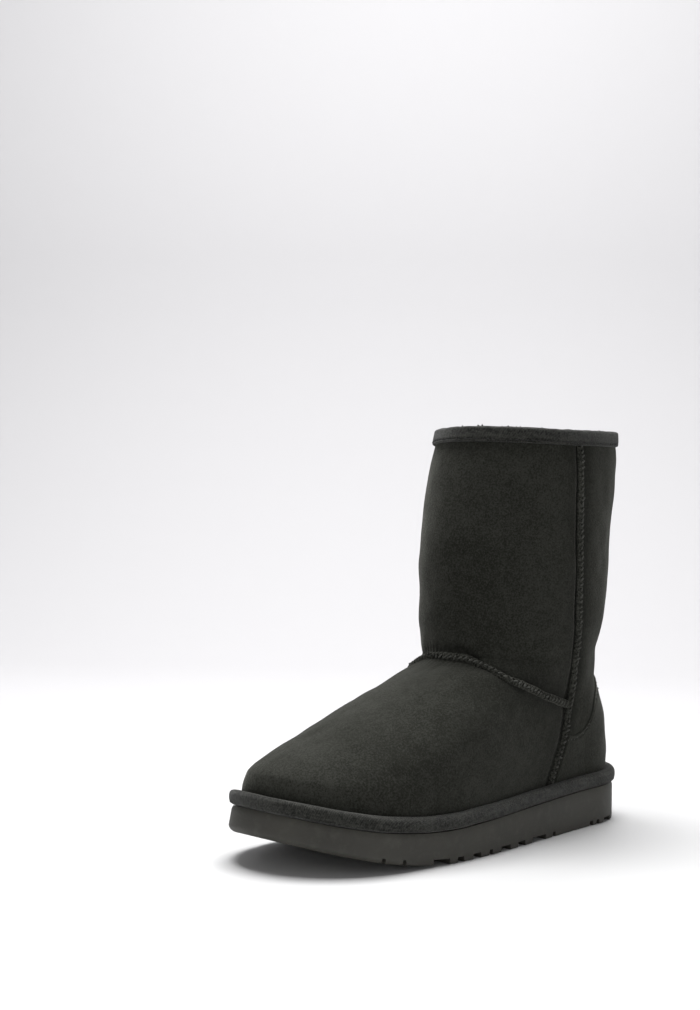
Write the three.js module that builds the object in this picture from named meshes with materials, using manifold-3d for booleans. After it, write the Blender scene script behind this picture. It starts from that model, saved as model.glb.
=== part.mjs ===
// Sheepskin ankle boot for the left foot, standing empty on its sole.
// Millimetres. +X points to the toe, +Y to the wearer's left, which is the outer side, and +Z up.
// The origin is on the floor, in the middle of the sole's plan.
import * as THREE from "three";
import { mergeVertices } from "three/addons/utils/BufferGeometryUtils.js";
import Module from "manifold-3d";

const wasm = await Module();
wasm.setup();

// Driving sizes of the whole boot
const SOLE_LENGTH = 275;
const BALL_WIDTH = 103; // outsole, across the ball
const HEEL_WIDTH = 72; // outsole, across the heel
const BOOT_HEIGHT = 233.4; // floor to the upper's top edge, at the collar's sides
const INSTEP_HEIGHT = 104; // floor to the instep seam, at the front of the shaft
const SHAFT_DEPTH = 126; // collar, front to back
const SHAFT_WIDTH = 94; // shaft, side to side
const TOE_SPRING = 17; // lift of the sole's tip above the floor
const CLEARANCE = 0.3; // between pieces that meet

// Outsole
const HEEL_THICKNESS = 23;
const BALL_THICKNESS = 17.4;
const TOE_THICKNESS = 14;
const TOE_FLARE = 1.6; // how far the wall leans out at the toe, from top to bottom
const TOE_BEVEL = 4.5;
const HEEL_BEVEL = 2;
const EDGE_BEVEL = 0.8;
const GROOVE_DEPTH = 3;

// Upper and what is sewn to it
const HIDE = 2.6; // thickness of the hide, without its wool
const FEATHER_INSET = 6.5; // from the outsole's edge in to the foot of the upper
const COLLAR_DISH = 2; // how much higher the collar is at its front and back than at its sides
const COLLAR_LEAN = 2.5; // how much higher its back is than its front
const TOE_SWING = 14; // how far the toe bends to the inner side
const SEAM_WIDTH = 5;
const SEAM_RISE = 1.3;
const WELT_HEIGHT = 8.4;
const WELT_OVERHANG = 1.6; // how far the welt stands past the outsole
const WELT_ROUND = 2.6;
const BINDING_HEIGHT = 7.4;
const BINDING_THICKNESS = 1.5;
const COUNTER_THICKNESS = 1.3;
const INSOLE_THICKNESS = 6;

const clamp = THREE.MathUtils.clamp;
const lerp = THREE.MathUtils.lerp;
const smooth = (t) => THREE.MathUtils.smoothstep(t, 0, 1);

// A smooth curve through a table's rows that never overshoots them.
function curveThrough(rows, at, value) {
  const x = rows.map((row) => row[at]);
  const y = rows.map((row) => row[value]);
  const last = x.length - 1;
  const step = x.slice(1).map((v, i) => v - x[i]);
  const slope = step.map((h, i) => (y[i + 1] - y[i]) / h);
  const tangent = slope.map((d, i) => {
    if (i === 0) return d;
    const before = slope[i - 1];
    if (before * d <= 0) return 0;
    const near = 2 * step[i] + step[i - 1];
    const far = step[i] + 2 * step[i - 1];
    return (near + far) / (near / before + far / d);
  });
  tangent.push(slope[last - 1]);
  return (v) => {
    const p = clamp(v, x[0], x[last]);
    let i = 0;
    while (i < last - 1 && p > x[i + 1]) i += 1;
    const h = step[i];
    const t = (p - x[i]) / h;
    const rest = 1 - t;
    return (
      y[i] * rest * rest * (1 + 2 * t) +
      y[i + 1] * t * t * (3 - 2 * t) +
      tangent[i] * h * t * rest * rest -
      tangent[i + 1] * h * t * t * rest
    );
  };
}

// The sole seen from the side. along runs from 0 at the heel to 1 at the toe.
const SPRING_START = 0.64;
const SPRING_POWER = 1.9;
const HEEL_LIFT_END = 0.05;
const THICKNESS = [
  { along: 0, thick: HEEL_THICKNESS },
  { along: 0.3, thick: lerp(BALL_THICKNESS, HEEL_THICKNESS, 0.68) },
  { along: 0.65, thick: BALL_THICKNESS },
  { along: 1, thick: TOE_THICKNESS },
];
const thicknessAt = curveThrough(THICKNESS, "along", "thick");
const alongAt = (x) => clamp(x / SOLE_LENGTH + 0.5, 0, 1);

function soleBottom(x) {
  const spring = clamp((alongAt(x) - SPRING_START) / (1 - SPRING_START), 0, 1);
  return TOE_SPRING * spring ** SPRING_POWER;
}
const soleTop = (x) => soleBottom(x) + thicknessAt(alongAt(x));
const featherLine = (x) => soleTop(x) + CLEARANCE;

// The foot of the upper in plan: half widths to the outer and the inner side.
const heelHalf = HEEL_WIDTH / 2 - FEATHER_INSET;
const ofBall = (share) => share * BALL_WIDTH - FEATHER_INSET;
const FOOTPRINT = [
  { along: 0, outer: heelHalf, inner: heelHalf },
  { along: 0.13, outer: heelHalf, inner: heelHalf },
  { along: 0.4, outer: ofBall(0.42), inner: ofBall(0.37) },
  { along: 0.7, outer: ofBall(0.503), inner: ofBall(0.497) },
  { along: 0.85, outer: ofBall(0.498), inner: ofBall(0.44) },
  { along: 1, outer: ofBall(0.483), inner: ofBall(0.425) },
];
const outerPrint = curveThrough(FOOTPRINT, "along", "outer");
const innerPrint = curveThrough(FOOTPRINT, "along", "inner");

// The upper's level rings. level is 0 at the sole, 1 at the instep seam and 2 at the collar.
// back is the ring's rear end as a share of the sole's length from its middle, depth a share of the
// shaft's depth and reach a share of the vamp's length. foot is 1 where the ring has the footprint's
// shape and 0 where it is an oval. swell widens the ring, and the ends are round over toeRound and
// heelRound of its length.
const SECTIONS = [
  { level: 0.0, back: -0.4764, depth: 1.0, reach: 1.0, foot: 1.0, swell: 1.0, toeRound: 0.198, heelRound: 0.135 },
  { level: 0.11, back: -0.4836, depth: 1.0, reach: 1.022, foot: 1.0, swell: 1.055, toeRound: 0.211, heelRound: 0.151 },
  { level: 0.235, back: -0.4818, depth: 1.0, reach: 1.004, foot: 0.95, swell: 1.065, toeRound: 0.236, heelRound: 0.156 },
  { level: 0.36, back: -0.4745, depth: 0.98, reach: 0.927, foot: 0.85, swell: 1.055, toeRound: 0.265, heelRound: 0.168 },
  { level: 0.51, back: -0.4618, depth: 0.96, reach: 0.75, foot: 0.7, swell: 1.03, toeRound: 0.31, heelRound: 0.192 },
  { level: 0.68, back: -0.4335, depth: 0.931, reach: 0.49, foot: 0.5, swell: 1.0, toeRound: 0.384, heelRound: 0.235 },
  { level: 0.85, back: -0.415, depth: 0.922, reach: 0.212, foot: 0.3, swell: 0.98, toeRound: 0.48, heelRound: 0.317 },
  { level: 1.0, back: -0.4165, depth: 0.944, reach: 0.0, foot: 0.15, swell: 0.98, toeRound: 0.53, heelRound: 0.43 },
  { level: 1.06, back: -0.4236, depth: 0.96, reach: 0.0, foot: 0.06, swell: 0.985, toeRound: 0.5, heelRound: 0.45 },
  { level: 1.16, back: -0.4364, depth: 0.988, reach: 0.0, foot: 0.0, swell: 1.0, toeRound: 0.47, heelRound: 0.455 },
  { level: 1.36, back: -0.456, depth: 1.032, reach: 0.0, foot: 0.0, swell: 1.01, toeRound: 0.48, heelRound: 0.48 },
  { level: 1.55, back: -0.469, depth: 1.056, reach: 0.0, foot: 0.0, swell: 1.01, toeRound: 0.49, heelRound: 0.49 },
  { level: 1.78, back: -0.48, depth: 1.04, reach: 0.0, foot: 0.0, swell: 1.01, toeRound: 0.49, heelRound: 0.49 },
  { level: 2.0, back: -0.4836, depth: 1.0, reach: 0.0, foot: 0.0, swell: 0.985, toeRound: 0.49, heelRound: 0.49 },
];
const ringCurve = {};
for (const column of ["back", "depth", "reach", "foot", "swell", "toeRound", "heelRound"]) {
  ringCurve[column] = curveThrough(SECTIONS, "level", column);
}
const VAMP_LENGTH = SOLE_LENGTH - SHAFT_DEPTH - 2 * FEATHER_INSET;
const FOOT_RISE = INSTEP_HEIGHT - HEEL_THICKNESS;
const SHAFT_RISE = BOOT_HEIGHT - INSTEP_HEIGHT;
const LIFT_END = 1.07; // level at which the rings no longer follow the sole's curve
const DISH_START = 1.13; // level at which the rings begin to follow the collar's dish
const ROUND_POWER = 2; // a circle's, for the rounding of a ring's ends
const BLUNT_TOE = 0.2; // added to that power at the toe

const roundEnd = (t, power) => (1 - (1 - clamp(t, 0, 1)) ** power) ** (1 / power);

// The rear and front end of the ring at a level.
function ringEnds(level) {
  const back = ringCurve.back(level) * SOLE_LENGTH;
  const front = back + ringCurve.depth(level) * SHAFT_DEPTH + ringCurve.reach(level) * VAMP_LENGTH;
  return { back, front };
}

// A point of the upper's outer face. angle is 0 at the front, PI at the back and positive on the outer side.
function surfacePoint(angle, level) {
  const { back, front } = ringEnds(level);
  const length = front - back;
  const t = (1 + Math.cos(angle)) / 2;
  const x = back + length * t;
  const along = alongAt(x);
  const foot = ringCurve.foot(level);
  const isOuter = Math.sin(angle) >= 0;
  const print = isOuter ? outerPrint(along) : innerPrint(along);
  const half = lerp(SHAFT_WIDTH / 2, print, foot) * ringCurve.swell(level);
  const ends =
    roundEnd(t / ringCurve.heelRound(level), ROUND_POWER) *
    roundEnd((1 - t) / ringCurve.toeRound(level), ROUND_POWER + BLUNT_TOE * foot);
  const swing = TOE_SWING * clamp((along - 0.45) / 0.55, 0, 1) ** 1.6;
  const y = (isOuter ? half : -half) * ends - swing;
  const flat = level < 1 ? HEEL_THICKNESS + level * FOOT_RISE : INSTEP_HEIGHT + (level - 1) * SHAFT_RISE;
  const lift = (featherLine(x) - HEEL_THICKNESS) * (1 - smooth(level / LIFT_END));
  const middle = (ringEnds(2).back + ringEnds(2).front) / 2;
  const toEnd = (x - middle) / (SHAFT_DEPTH / 2);
  const dish = COLLAR_DISH * toEnd ** 2 - (COLLAR_LEAN / 2) * toEnd;
  const rise = dish * smooth((level - DISH_START) / (2 - DISH_START));
  return new THREE.Vector3(x, y, flat + lift + rise);
}

// The side seam, as a share of the sole's length from its middle, and the instep seam, whose level is
// given from the front centre, around 0, to the side seam, around 1.
const SIDE_SEAM = [
  { level: 0, at: -0.179 },
  { level: 0.12, at: -0.187 },
  { level: 0.25, at: -0.204 },
  { level: 0.42, at: -0.223 },
  { level: 0.6, at: -0.231 },
  { level: 0.8, at: -0.235 },
  { level: 1.0, at: -0.23 },
  { level: 1.2, at: -0.223 },
  { level: 2, at: -0.224 },
];
const INSTEP_SEAM = [
  { around: 0, level: 1.0 },
  { around: 0.16, level: 0.995 },
  { around: 0.32, level: 0.96 },
  { around: 0.55, level: 0.875 },
  { around: 0.78, level: 0.765 },
  { around: 1, level: 0.635 },
];
const sideSeamAt = curveThrough(SIDE_SEAM, "level", "at");
const instepSeamLevel = curveThrough(INSTEP_SEAM, "around", "level");

// The upper in its makers' panels. c is 0 at the front centre, 1 at the outer side seam and 2 at the
// back centre, and negative on the inner side. r is 0 at the sole, 1 along the instep seam, 2 at the collar.
function panelPoint(c, r) {
  const around = Math.abs(c);
  const seam = instepSeamLevel(Math.min(around, 1));
  const level = r < 1 ? r * seam : lerp(seam, 2, r - 1);
  const { back, front } = ringEnds(level);
  const t = (sideSeamAt(level) * SOLE_LENGTH - back) / (front - back);
  const sideAngle = Math.acos(2 * t - 1);
  const angle = around < 1 ? around * sideAngle : lerp(sideAngle, Math.PI, around - 1);
  return surfacePoint(c < 0 ? -angle : angle, level);
}

const NUDGE = 1e-3;
const cutBack = (c) => clamp(c, -2 + NUDGE, 2 - NUDGE);

// The outward normal of the upper's outer face. It turns level at both of the upper's open edges, so
// that they are cut square to the wall.
const SQUARE_EDGE = 0.1;
function panelNormal(c, r) {
  const around = Math.abs(c) > 2 - NUDGE ? cutBack(c) : c;
  const side = panelPoint(around + NUDGE, r).sub(panelPoint(around - NUDGE, r));
  const up = panelPoint(c, Math.min(r + NUDGE, 2)).sub(panelPoint(c, Math.max(r - NUDGE, 0)));
  const normal = side.cross(up).normalize();
  normal.z *= smooth(r / SQUARE_EDGE) * smooth((2 - r) / SQUARE_EDGE);
  return normal.normalize();
}

// How far the face runs, in millimetres, for one unit of c or of r.
const perAround = (c, r, way) => panelPoint(c + way * NUDGE, r).distanceTo(panelPoint(c, r)) / NUDGE;
const perRise = (c, r, way) => panelPoint(c, r + way * NUDGE).distanceTo(panelPoint(c, r)) / NUDGE;

// The grid's columns: even ones between the seams, and five close ones across each side seam.
const FRONT_COLUMNS = 15;
const BACK_COLUMNS = 7;
const ACROSS_SEAM = [-1, -0.5, 0, 0.5, 1];
const seamProfile = (across) => Math.sqrt(1 - across * across);

function columnsOfOneSide() {
  const columns = [];
  for (let i = 1; i <= FRONT_COLUMNS; i += 1) columns.push({ base: i / (FRONT_COLUMNS + 1) });
  for (const across of ACROSS_SEAM) columns.push({ base: 1, across });
  for (let i = 1; i <= BACK_COLUMNS; i += 1) columns.push({ base: 1 + i / (BACK_COLUMNS + 1) });
  return columns;
}
const outerColumns = columnsOfOneSide().map((column) => ({ ...column, side: 1 }));
const innerColumns = columnsOfOneSide()
  .reverse()
  .map((column) => ({ ...column, side: -1 }));
const COLUMNS = [{ base: 0, side: 1 }, ...outerColumns, { base: 2, side: 1 }, ...innerColumns];

function columnAt(column, r) {
  if (column.across === undefined) return column.side * column.base;
  const way = column.across < 0 ? -1 : 1;
  const shift = (column.across * SEAM_WIDTH) / 2 / perAround(1, r, way);
  return column.side * (1 + shift);
}

// The grid's rows, from the sole up: the welt's height, the vamp, five across the instep seam, the
// shaft and the height of the collar's binding.
const VAMP_ROWS = 9;
const SHAFT_ROWS = 8;
const WELT_STEPS = [0, 0.5, 1];
const ROWS = [
  ...WELT_STEPS.map((share) => ({ part: "welt", share })),
  ...Array.from({ length: VAMP_ROWS }, (_, i) => ({ part: "vamp", share: (i + 1) / (VAMP_ROWS + 1) })),
  ...ACROSS_SEAM.map((across) => ({ part: "seam", across })),
  ...Array.from({ length: SHAFT_ROWS }, (_, i) => ({ part: "shaft", share: (i + 1) / (SHAFT_ROWS + 1) })),
  { part: "binding", share: 0 },
  { part: "binding", share: 1 },
];

function rowAt(row, c) {
  const seam = instepSeamLevel(Math.min(Math.abs(c), 1));
  const weltTop = WELT_HEIGHT / FOOT_RISE / seam;
  const halfSeam = SEAM_WIDTH / 2;
  const underSeam = 1 - halfSeam / perRise(c, 1, -1);
  const overSeam = 1 + halfSeam / perRise(c, 1, 1);
  const bindingFoot = 2 - BINDING_HEIGHT / perRise(c, 2, -1);
  if (row.part === "welt") return weltTop * row.share;
  if (row.part === "vamp") return lerp(weltTop, underSeam, row.share);
  if (row.part === "seam") return row.across < 0 ? lerp(1, underSeam, -row.across) : lerp(1, overSeam, row.across);
  if (row.part === "shaft") return lerp(overSeam, bindingFoot, row.share);
  return lerp(bindingFoot, 2, row.share);
}

// One vertex of the grid, pushed out by a distance. The seams stand up as ridges where raised is true.
function gridPoint(column, row, push, raised = false) {
  const c0 = column.side * column.base;
  const r = rowAt(row, c0);
  const c = columnAt(column, r);
  let rise = 0;
  if (raised) {
    const isCovered = row.part === "welt" || row.part === "binding";
    const isBehindSeam = column.base > 1 || column.across > 0;
    if (!isCovered && column.across !== undefined) rise = seamProfile(column.across);
    if (row.part === "seam" && !isBehindSeam) rise = Math.max(rise, seamProfile(row.across));
  }
  return panelPoint(c, r).addScaledVector(panelNormal(c, r), push + rise * SEAM_RISE);
}

// Turns rings of points, each a closed loop of the same length, into a skin. The last ring joins the
// first where closed is true, and otherwise both ends get a cap of strips from side to side. Each
// four-sided patch is split along its shorter diagonal, so that two faces of one wall stay parallel.
function skin(rings, closed) {
  const n = rings[0].length;
  const points = rings.flat();
  const positions = points.flatMap((p) => [p.x, p.y, p.z]);
  const index = [];
  const count = closed ? rings.length : rings.length - 1;
  for (let j = 0; j < count; j += 1) {
    const k = (j + 1) % rings.length;
    for (let i = 0; i < n; i += 1) {
      const m = (i + 1) % n;
      const [a, b, c, d] = [j * n + i, j * n + m, k * n + m, k * n + i];
      const isFirstShorter = points[a].distanceTo(points[c]) < points[b].distanceTo(points[d]);
      if (isFirstShorter) index.push(a, b, c, a, c, d);
      else index.push(a, b, d, b, c, d);
    }
  }
  if (!closed) {
    const top = (rings.length - 1) * n;
    for (let i = 0; i < n / 2; i += 1) {
      const [a, b, c, d] = [i, i + 1, n - i - 1, (n - i) % n];
      if (b !== c) index.push(a, c, b, top + a, top + b, top + c);
      if (a !== d) index.push(a, d, c, top + a, top + c, top + d);
    }
  }
  const geometry = new THREE.BufferGeometry();
  geometry.setAttribute("position", new THREE.Float32BufferAttribute(positions, 3));
  geometry.setIndex(index);
  return geometry;
}

// A closed geometry as a solid that can be joined or cut, and back.
function toSolid(geometry) {
  const bare = geometry.clone();
  bare.deleteAttribute("normal");
  bare.deleteAttribute("uv");
  const merged = mergeVertices(bare, 1e-4);
  const mesh = new wasm.Mesh({
    numProp: 3,
    vertProperties: new Float32Array(merged.attributes.position.array),
    triVerts: new Uint32Array(merged.index.array),
  });
  return new wasm.Manifold(mesh);
}
function toGeometry(solid) {
  const mesh = solid.getMesh();
  const geometry = new THREE.BufferGeometry();
  geometry.setAttribute("position", new THREE.Float32BufferAttribute(mesh.vertProperties, 3));
  geometry.setIndex(Array.from(mesh.triVerts));
  return geometry;
}

// Upper: one hollow wall of hide, open at the collar and underneath, with its seams raised.
function upper() {
  const outside = ROWS.map((row) => COLUMNS.map((column) => gridPoint(column, row, 0, true)));
  const inside = ROWS.filter((row, i) => row.part !== "seam" || i % 2 === 0)
    .map((row) => COLUMNS.map((column) => gridPoint(column, row, -HIDE)))
    .reverse();
  return skin([...outside, ...inside], true);
}

// The horizontal way out of the upper's foot, and a point at a distance along it.
function outOfFoot(point, normal, distance) {
  const flat = new THREE.Vector3(normal.x, normal.y, 0).normalize();
  return point.clone().addScaledVector(flat, distance);
}
const footOf = (c) => ({ point: panelPoint(c, 0), normal: panelNormal(c, 0) });

// Welt: a padded roll round the foot of the upper, on the edge of the outsole.
function welt() {
  const reach = FEATHER_INSET + WELT_OVERHANG;
  const shoulder = WELT_ROUND * Math.SQRT1_2;
  // Outer half of the roll's section: how far in from its outer face, and how far above its foot.
  const outline = [
    { inward: 0, up: WELT_HEIGHT * 0.45 },
    { inward: WELT_ROUND - shoulder, up: WELT_ROUND - shoulder },
    { inward: WELT_ROUND, up: 0 },
  ];
  const rings = WELT_STEPS.map((share) =>
    COLUMNS.map((column) => gridPoint(column, { part: "welt", share }, CLEARANCE)),
  );
  const around = COLUMNS.map((column) => footOf(columnAt(column, 0)));
  const edge = (inward, up) =>
    around.map(({ point, normal }) => {
      const p = outOfFoot(point, normal, reach - inward);
      p.z = featherLine(p.x) + up;
      return p;
    });
  const top = [
    edge(WELT_ROUND + shoulder, WELT_HEIGHT),
    edge(WELT_ROUND * 0.6, WELT_HEIGHT - 0.5 * shoulder),
    edge(0, WELT_HEIGHT - WELT_ROUND),
  ];
  const lower = outline.map(({ inward, up }) => edge(inward, up));
  return skin([...rings, ...top, ...lower].reverse(), true);
}

// Collar binding: a folded tape over the upper's top edge, with a leg down each face.
function collarBinding() {
  const foot = { part: "binding", share: 0 };
  const top = { part: "binding", share: 1 };
  const ring = (row, push, up) =>
    COLUMNS.map((column) => {
      const p = gridPoint(column, row, push);
      p.z += up;
      return p;
    });
  const near = CLEARANCE;
  const far = CLEARANCE + BINDING_THICKNESS;
  const hug = far * 0.75;
  return skin(
    [
      ring(foot, near, 0),
      ring(foot, far, 0),
      ring(top, far, 0),
      ring(top, hug - near, hug),
      ring(top, -HIDE / 2, far + near),
      ring(top, -HIDE - hug + near, hug),
      ring(top, -HIDE - far, 0),
      ring(foot, -HIDE - far, 0),
      ring(foot, -HIDE - near, 0),
      ring(top, -HIDE - near, near),
      ring(top, near, near),
    ],
    true,
  );
}

// Heel counter: a patch round the back of the heel, cut between two larger forms of the upper. Its
// upper edge is given in side view, as shares of the sole's length and of the instep's height.
const COUNTER_EDGE = [
  { at: -0.262, up: 0.54 },
  { at: -0.292, up: 0.558 },
  { at: -0.309, up: 0.6 },
  { at: -0.321, up: 0.665 },
  { at: -0.331, up: 0.745 },
  { at: -0.352, up: 0.815 },
  { at: -0.385, up: 0.862 },
  { at: -0.42, up: 0.88 },
];
function heelCounter() {
  const form = (push) =>
    toSolid(skin(ROWS.map((row) => COLUMNS.map((column) => gridPoint(column, row, push))), false));
  const shell = form(CLEARANCE + COUNTER_THICKNESS).subtract(form(CLEARANCE));
  const gap = SEAM_WIDTH / 2 + 2 * CLEARANCE;
  const seamX = (level) => sideSeamAt(level) * SOLE_LENGTH - gap;
  const behind = -SOLE_LENGTH / 2 - FEATHER_INSET;
  const low = (x) => featherLine(x) + WELT_HEIGHT + 2 * CLEARANCE;
  const weltLevel = WELT_HEIGHT / FOOT_RISE;
  const seamFoot = seamX(weltLevel);
  const edgeLevel = (COUNTER_EDGE[0].up * INSTEP_HEIGHT - HEEL_THICKNESS) / FOOT_RISE;
  const outline = new THREE.Shape();
  outline.moveTo(behind, low(behind));
  outline.lineTo(seamFoot, low(seamFoot));
  for (const share of [0.25, 0.5, 0.75, 1]) {
    const level = lerp(weltLevel, edgeLevel, share);
    outline.lineTo(seamX(level), lerp(low(seamFoot), COUNTER_EDGE[0].up * INSTEP_HEIGHT, share));
  }
  for (const { at, up } of COUNTER_EDGE) outline.lineTo(at * SOLE_LENGTH, up * INSTEP_HEIGHT);
  outline.lineTo(behind, COUNTER_EDGE[COUNTER_EDGE.length - 1].up * INSTEP_HEIGHT);
  const prism = new THREE.ExtrudeGeometry(outline, { depth: 2 * SHAFT_WIDTH, bevelEnabled: false });
  prism.rotateX(Math.PI / 2);
  prism.translate(0, SHAFT_WIDTH, 0);
  return toGeometry(shell.intersect(toSolid(prism)));
}

// A closed loop round the foot, at a distance out from the upper's foot.
const PLAN_COLUMNS = 72;
function loopAroundFoot(distanceAt, heightAt) {
  return Array.from({ length: PLAN_COLUMNS }, (_, i) => {
    const turn = (i / PLAN_COLUMNS) * 2 * Math.PI;
    const ahead = surfacePoint(turn + NUDGE, 0);
    const behind = surfacePoint(turn - NUDGE, 0);
    const normal = new THREE.Vector3(ahead.y - behind.y, behind.x - ahead.x, 0);
    const point = surfacePoint(turn, 0);
    const p = outOfFoot(point, normal, distanceAt(alongAt(point.x)));
    p.z = heightAt(p.x, alongAt(point.x));
    return p;
  });
}

// Insole: a pad on the outsole that follows the wall of the upper, just inside it.
function insole() {
  const push = -HIDE - 2 * CLEARANCE;
  const top = INSOLE_THICKNESS / WELT_HEIGHT;
  const rings = [0, top / 2, top].map((share) =>
    COLUMNS.map((column) => {
      const p = gridPoint(column, { part: "welt", share }, push);
      p.z = featherLine(p.x) + share * WELT_HEIGHT;
      return p;
    }),
  );
  return skin(rings, false);
}

// Outsole: one moulded piece with toe spring, a bevelled lower edge and grooves across its tread.
// The grooves are given as shares of the sole's length from its middle, with their widths.
const GROOVES = [
  { at: 0.345, width: 2 },
  { at: 0.3, width: 2 },
  { at: 0.206, width: 12 },
  { at: 0.154, width: 5 },
  { at: 0.105, width: 6.5 },
  { at: 0.06, width: 3 },
  { at: 0.009, width: 9 },
  { at: -0.048, width: 7.5 },
  { at: -0.115, width: 14 },
  { at: -0.174, width: 3 },
  { at: -0.327, width: 3.5 },
  { at: -0.352, width: 3 },
  { at: -0.395, width: 10 },
];
const BEVELS = [
  { along: 0, size: HEEL_BEVEL },
  { along: 0.1, size: EDGE_BEVEL },
  { along: 0.72, size: EDGE_BEVEL },
  { along: 0.9, size: lerp(EDGE_BEVEL, TOE_BEVEL, 0.7) },
  { along: 1, size: TOE_BEVEL },
];
const bevelAt = curveThrough(BEVELS, "along", "size");
const flareAt = (along) => TOE_FLARE * smooth((along - 0.6) / 0.35);

function outsole() {
  const wall = (along) => FEATHER_INSET + flareAt(along);
  const body = skin(
    [
      loopAroundFoot(
        (along) => wall(along) - bevelAt(along),
        (x) => soleBottom(x),
      ),
      loopAroundFoot(wall, (x, along) => soleBottom(x) + bevelAt(along)),
      loopAroundFoot(
        () => FEATHER_INSET,
        (x) => soleTop(x) - EDGE_BEVEL,
      ),
      loopAroundFoot(
        () => FEATHER_INSET - EDGE_BEVEL,
        (x) => soleTop(x),
      ),
    ],
    false,
  );
  let solid = toSolid(body);
  for (const { at, width } of GROOVES) {
    const x = at * SOLE_LENGTH;
    const cutter = new THREE.BoxGeometry(width, 2 * BALL_WIDTH, 2 * GROOVE_DEPTH);
    cutter.translate(x, 0, soleBottom(x));
    solid = solid.subtract(toSolid(cutter));
  }
  return toGeometry(solid);
}

const SUEDE = { color: 0x1d1d1b, roughness: 0.95, metalness: 0 };
const TAPE = { color: 0x2a2a2c, roughness: 0.85, metalness: 0 };
const FOAM_RUBBER = { color: 0x2b2a28, roughness: 0.75, metalness: 0 };
const FLEECE = { color: 0x161616, roughness: 1, metalness: 0 };

const boot = new THREE.Group();
function addPiece(name, geometry, look) {
  const piece = new THREE.Mesh(geometry, new THREE.MeshStandardMaterial(look));
  piece.geometry.computeVertexNormals();
  piece.name = name;
  boot.add(piece);
}
addPiece("outsole", outsole(), FOAM_RUBBER);
addPiece("insole", insole(), FLEECE);
addPiece("upper", upper(), SUEDE);
addPiece("heel_counter", heelCounter(), SUEDE);
addPiece("welt", welt(), TAPE);
addPiece("collar_binding", collarBinding(), TAPE);

// The origin sits in the middle of the plan, so the whole boot is moved there.
const plan = new THREE.Box3().setFromObject(boot);
boot.position.set(-(plan.min.x + plan.max.x) / 2, -(plan.min.y + plan.max.y) / 2, 0);

export default boot;
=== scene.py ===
import math
import bpy
import numpy as np
from mathutils import Matrix, Vector


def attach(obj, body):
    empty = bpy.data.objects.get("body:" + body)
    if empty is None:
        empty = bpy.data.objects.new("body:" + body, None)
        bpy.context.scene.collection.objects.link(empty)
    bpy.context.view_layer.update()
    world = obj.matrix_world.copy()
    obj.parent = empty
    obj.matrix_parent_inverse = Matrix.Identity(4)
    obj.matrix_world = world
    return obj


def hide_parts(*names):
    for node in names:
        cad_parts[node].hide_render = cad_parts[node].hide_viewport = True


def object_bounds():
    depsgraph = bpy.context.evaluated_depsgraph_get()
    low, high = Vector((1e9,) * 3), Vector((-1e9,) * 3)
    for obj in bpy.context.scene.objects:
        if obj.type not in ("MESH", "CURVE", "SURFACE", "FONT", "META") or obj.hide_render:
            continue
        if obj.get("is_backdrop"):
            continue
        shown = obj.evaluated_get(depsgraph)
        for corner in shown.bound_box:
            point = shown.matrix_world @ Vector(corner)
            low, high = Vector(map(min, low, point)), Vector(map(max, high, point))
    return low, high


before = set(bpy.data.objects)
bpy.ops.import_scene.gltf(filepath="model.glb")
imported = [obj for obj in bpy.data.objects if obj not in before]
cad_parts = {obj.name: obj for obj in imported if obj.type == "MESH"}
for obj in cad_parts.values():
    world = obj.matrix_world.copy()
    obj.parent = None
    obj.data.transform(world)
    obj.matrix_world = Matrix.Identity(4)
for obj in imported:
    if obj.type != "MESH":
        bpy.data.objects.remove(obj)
cad_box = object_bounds()


# The last
# The wooden foot form that the boot is made over. Its level rings, from the sole's edge up to the
# collar, give every piece its place: +X is to the toe and +Y to the outer side.
SOLE_LENGTH = 275.0
BALL_WIDTH = 103.0
HEEL_WIDTH = 72.0
BOOT_HEIGHT = 233.4
INSTEP_HEIGHT = 104.0
SHAFT_DEPTH = 126.0
SHAFT_WIDTH = 94.0
TOE_SPRING = 17.0
SPRING_START = 0.64  # place along the sole where its toe begins to lift
SPRING_POWER = 1.9
TOE_SWING = 14.0
SWING_START = 0.45
SWING_POWER = 1.6
COLLAR_DISH = 2.0
COLLAR_LEAN = 2.5
HEEL_THICKNESS = 23.0
BALL_THICKNESS = 17.4
TOE_THICKNESS = 14.0
FEATHER_INSET = 6.5
CLEARANCE = 0.3
PLAN_SHIFT = np.array([0.01, 3.44, 0.0])  # from the last's own middle to the middle of the boot's plan


def curve_through(rows, value):
    """A smooth curve through a table's first column and one other, which never overshoots its rows."""
    x = np.array([row[0] for row in rows], float)
    y = np.array([row[value] for row in rows], float)
    step = np.diff(x)
    slope = np.diff(y) / step
    before, after = slope[:-1], slope[1:]
    rising = before * after > 0
    near = 2 * step[1:] + step[:-1]
    far = step[1:] + 2 * step[:-1]
    safe_before = np.where(rising, before, 1)
    safe_after = np.where(rising, after, 1)
    middle = np.where(rising, (near + far) / (near / safe_before + far / safe_after), 0)
    tangent = np.concatenate([slope[:1], middle, slope[-1:]])

    def curve(v):
        p = np.clip(v, x[0], x[-1])
        i = np.clip(np.searchsorted(x, p, side="right") - 1, 0, len(step) - 1)
        h = step[i]
        t = (p - x[i]) / h
        rest = 1 - t
        ends = y[i] * rest**2 * (1 + 2 * t) + y[i + 1] * t**2 * (3 - 2 * t)
        return ends + h * t * rest * (tangent[i] * rest - tangent[i + 1] * t)

    return curve


def smooth(t):
    """An even rise from 0 to 1."""
    t = np.clip(t, 0, 1)
    return t * t * (3 - 2 * t)


# along the sole (0 heel, 1 toe), thickness
THICKNESS = [
    (0, HEEL_THICKNESS),
    (0.3, BALL_THICKNESS + 0.68 * (HEEL_THICKNESS - BALL_THICKNESS)),
    (0.65, BALL_THICKNESS),
    (1, TOE_THICKNESS),
]
thickness_at = curve_through(THICKNESS, 1)


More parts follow.
